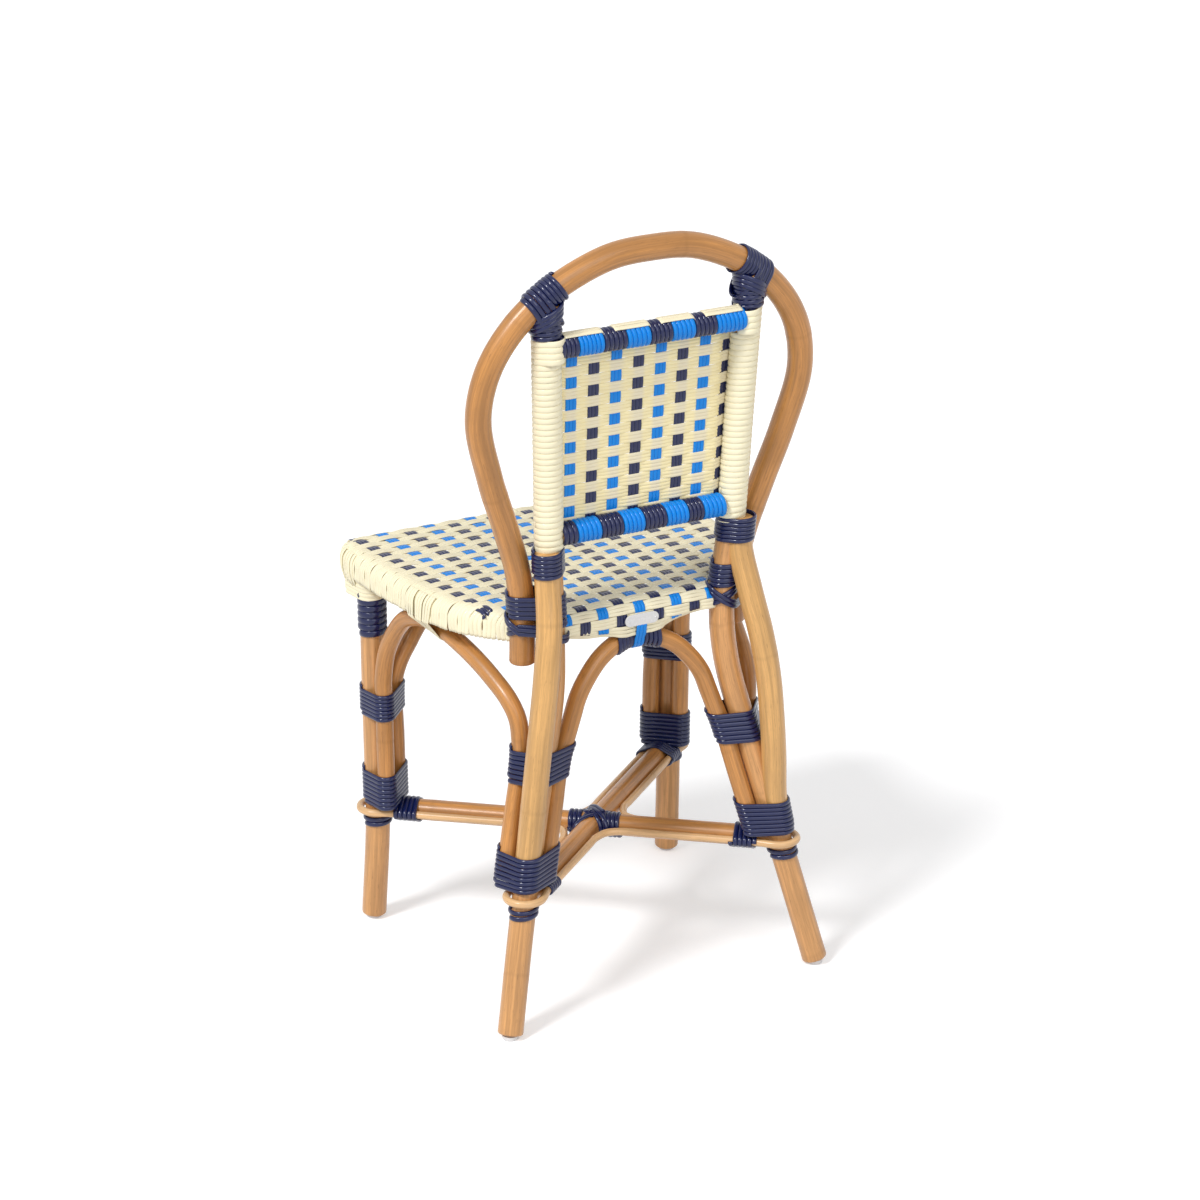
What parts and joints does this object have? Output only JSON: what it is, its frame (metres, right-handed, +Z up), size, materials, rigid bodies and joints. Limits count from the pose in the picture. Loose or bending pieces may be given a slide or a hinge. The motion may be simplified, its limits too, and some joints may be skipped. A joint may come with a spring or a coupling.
{
  "type": "rattan side chair",
  "caption": "Rattan side chair with a bent hoop back, a woven back panel, a woven seat over a pole frame, arched braces, crossed stretchers and lashed joints.",
  "frame": {"origin": "on the floor, at the middle of the bounding box of the chair", "axes": "+Z up, +Y towards the back of the chair, +X to the left of someone sitting in it"},
  "size_m": [0.4276, 0.4094, 0.8637],
  "materials": {
    "honey_rattan": "satin lacquer",
    "chestnut_rattan": "satin lacquer",
    "straw_rattan": "satin lacquer",
    "cream_strand": "satin",
    "navy_strand": "glossy",
    "blue_strand": "glossy",
    "glide_plastic": "satin",
    "label_plate": "glossy"
  },
  "bodies": {
    "root": {"rear_pole_left": "honey_rattan", "front_leg_left": "honey_rattan", "rear_pole_right": "honey_rattan", "front_leg_right": "honey_rattan", "hoop": "chestnut_rattan", "seat_frame": "straw_rattan", "seat_rear_rail": "straw_rattan", "seat_weave": "cream_strand", "side_arch_left": "chestnut_rattan", "side_arch_right": "chestnut_rattan", "front_arch": "chestnut_rattan", "rear_arch": "chestnut_rattan", "back_top_rail": "straw_rattan", "back_top_rail_wrap": "blue_strand", "back_bottom_rail": "straw_rattan", "back_bottom_rail_wrap": "blue_strand", "back_weave": "cream_strand", "post_wrap_left": "cream_strand", "post_wrap_right": "cream_strand", "stretcher_through": "chestnut_rattan", "stretcher_half_rear": "chestnut_rattan", "stretcher_half_front": "chestnut_rattan", "foot_rod_front_left": "straw_rattan", "foot_rod_rear_left": "straw_rattan", "foot_rod_rear_right": "straw_rattan", "foot_rod_front_right": "straw_rattan", "rear_brace_left": "straw_rattan", "rear_brace_right": "straw_rattan", "front_top_lashing_left": "navy_strand", "front_mid_lashing_left": "navy_strand", "rear_mid_lashing_left": "navy_strand", "front_lower_lashing_left": "navy_strand", "rear_lower_lashing_left": "navy_strand", "hoop_end_lashing_left": "navy_strand", "post_foot_lashing_left": "navy_strand", "front_top_lashing_right": "navy_strand", "front_mid_lashing_right": "navy_strand", "rear_mid_lashing_right": "navy_strand", "front_lower_lashing_right": "navy_strand", "rear_lower_lashing_right": "navy_strand", "hoop_end_lashing_right": "navy_strand", "post_foot_lashing_right": "navy_strand", "hoop_top_lashing_left": "navy_strand", "hoop_top_lashing_right": "navy_strand", "stretcher_lashing_front_left": "navy_strand", "stretcher_lashing_front_right": "navy_strand", "stretcher_lashing_rear_left": "navy_strand", "stretcher_lashing_rear_right": "navy_strand", "centre_lashing": "navy_strand", "front_arch_strap": "cream_strand", "rear_arch_strap": "navy_strand", "side_arch_strap_left": "cream_strand", "side_arch_strap_right": "cream_strand", "corner_collar_left": "cream_strand", "corner_collar_right": "cream_strand", "glide_rear_left": "glide_plastic", "glide_front_left": "glide_plastic", "glide_rear_right": "glide_plastic", "glide_front_right": "glide_plastic", "label_plate": "label_plate"}
  },
  "joints": []
}
